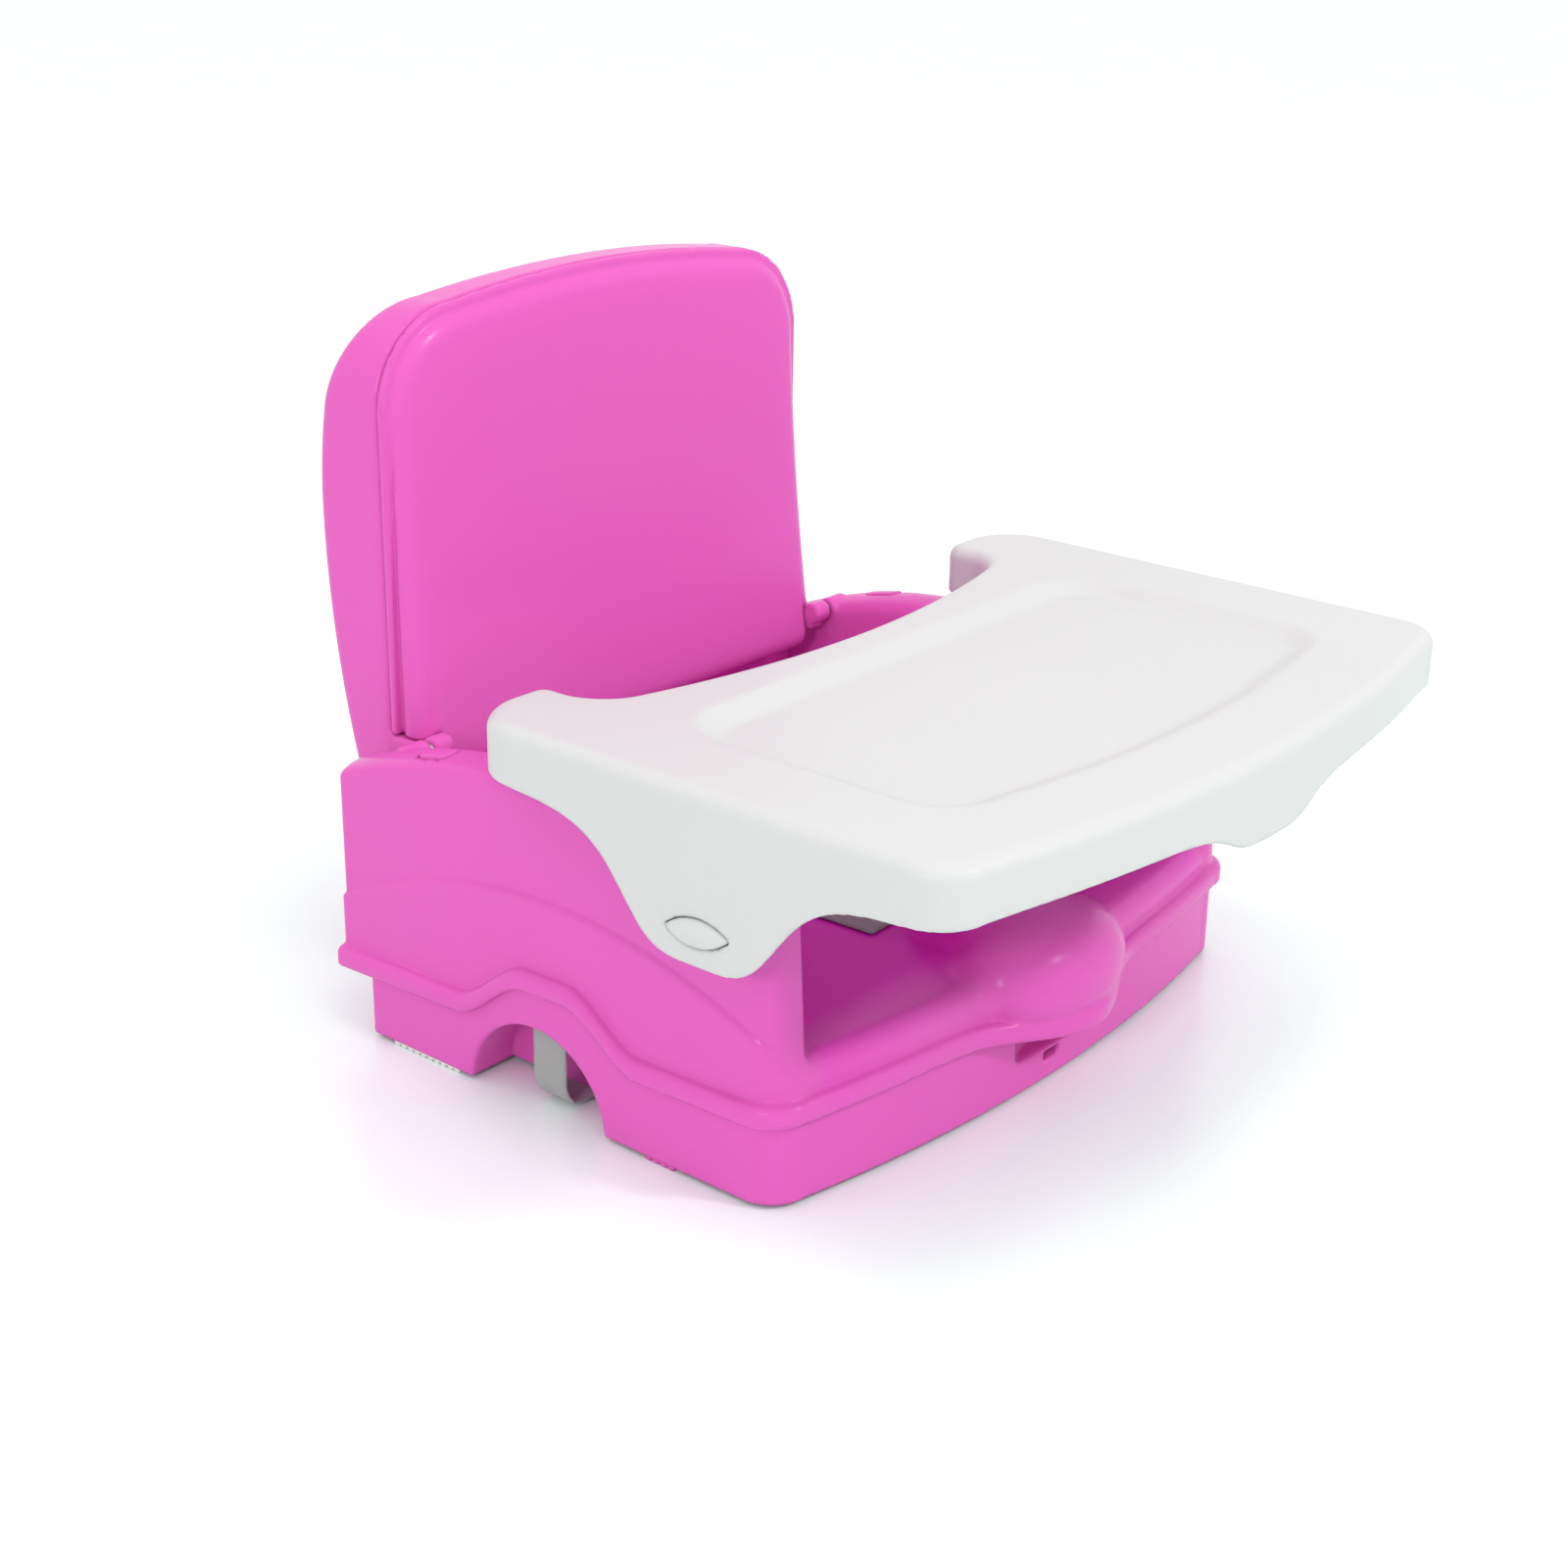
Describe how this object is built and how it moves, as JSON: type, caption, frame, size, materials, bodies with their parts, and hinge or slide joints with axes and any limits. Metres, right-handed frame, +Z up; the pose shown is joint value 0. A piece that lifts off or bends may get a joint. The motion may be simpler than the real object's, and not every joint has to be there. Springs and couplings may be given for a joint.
{
  "type": "folding booster seat",
  "caption": "Folding booster seat with a contoured base, low arm rests, a rounded fold-down backrest, a slide-on food tray and under-chair straps.",
  "frame": {"origin": "on the floor under the centre of the whole seat's footprint, backrest up and tray on", "axes": "+X to the right seen from the front, the front faces -Y, +Z up"},
  "size_m": [0.398, 0.426, 0.341],
  "materials": {
    "pink_shell": "glossy moulded plastic",
    "white_tray": "satin moulded plastic",
    "grey_webbing": "woven webbing",
    "dark_buckle": "fine textured",
    "pink_rubber": "ribbed",
    "white_rubber": "ribbed",
    "steel": "zinc plated"
  },
  "bodies": {
    "base": {"lower_base": "pink_shell", "seat_shell": "pink_shell", "front_foot_left": "pink_rubber", "front_foot_right": "pink_rubber", "rear_foot_left": "white_rubber", "rear_foot_right": "white_rubber", "base_screws": "steel", "hinge_pin_left": "steel", "hinge_pin_right": "steel", "fold_spring_left": "steel", "fold_spring_right": "steel", "chair_strap_left": "grey_webbing", "chair_strap_right": "grey_webbing", "chair_buckle_socket": "dark_buckle", "chair_buckle_plug": "dark_buckle", "strap_anchor_left": "steel", "strap_anchor_right": "steel", "back_strap_left": "grey_webbing", "back_strap_right": "grey_webbing", "back_buckle_socket": "dark_buckle", "back_buckle_plug": "dark_buckle", "crotch_strap": "grey_webbing", "waist_strap_left": "grey_webbing", "waist_strap_right": "grey_webbing", "strap_tail": "grey_webbing", "harness_buckle": "dark_buckle", "harness_prong_left": "dark_buckle", "harness_prong_right": "dark_buckle"},
    "backrest": {"back_rear_shell": "pink_shell", "back_front_panel": "pink_shell", "back_screws": "steel"},
    "tray": {"tray_shell": "white_tray", "latch_cover_left": "white_tray", "latch_cover_right": "white_tray", "tray_spring_left": "steel", "tray_spring_right": "steel", "tray_screws": "steel"},
    "fold_button_left": {"fold_button_left": "pink_shell"},
    "tray_button_left": {"tray_button_left": "white_tray"},
    "tray_latch_left": {"tray_latch_left": "white_tray"},
    "fold_button_right": {"fold_button_right": "pink_shell"},
    "tray_button_right": {"tray_button_right": "white_tray"},
    "tray_latch_right": {"tray_latch_right": "white_tray"}
  },
  "joints": [
    {"name": "backrest_fold", "type": "hinge", "parent": "base", "child": "backrest", "pos_m": [0, 0.143, 0.138], "axis": [1, 0, 0], "range_deg": [0, 90]},
    {"name": "tray_slide", "type": "slide", "parent": "base", "child": "tray", "axis": [0, -1, 0], "range_m": [0, 0.16]},
    {"name": "fold_button_left_press", "type": "slide", "parent": "base", "child": "fold_button_left", "axis": [0, 0, -1], "range_m": [0, 0.003], "stiffness_N_per_m": 400, "springref_m": -0.001, "deforming": ["fold_spring_left"]},
    {"name": "fold_button_right_press", "type": "slide", "parent": "base", "child": "fold_button_right", "axis": [0, 0, -1], "range_m": [0, 0.003], "stiffness_N_per_m": 400, "springref_m": -0.001, "deforming": ["fold_spring_right"]},
    {"name": "tray_button_left_press", "type": "slide", "parent": "tray", "child": "tray_button_left", "axis": [1, 0, 0], "range_m": [0, 0.0025], "stiffness_N_per_m": 400, "springref_m": -0.001, "deforming": ["tray_spring_left"]},
    {"name": "tray_latch_left_swing", "type": "hinge", "parent": "tray", "child": "tray_latch_left", "pos_m": [-0.186, -0.068, 0.1265], "axis": [0, 0, 1], "range_deg": [0, 12.5]},
    {"name": "tray_button_right_press", "type": "slide", "parent": "tray", "child": "tray_button_right", "axis": [-1, 0, 0], "range_m": [0, 0.0025], "stiffness_N_per_m": 400, "springref_m": -0.001, "deforming": ["tray_spring_right"]},
    {"name": "tray_latch_right_swing", "type": "hinge", "parent": "tray", "child": "tray_latch_right", "pos_m": [0.186, -0.068, 0.1265], "axis": [0, 0, -1], "range_deg": [0, 12.5]}
  ],
  "couplings": [
    {"joint": "tray_slide", "follows": "backrest_fold", "m_per_rad": 0.1},
    {"joint": "tray_latch_left_swing", "follows": "tray_button_left_press", "rad_per_m": 83.776},
    {"joint": "tray_latch_right_swing", "follows": "tray_button_right_press", "rad_per_m": 83.776}
  ]
}
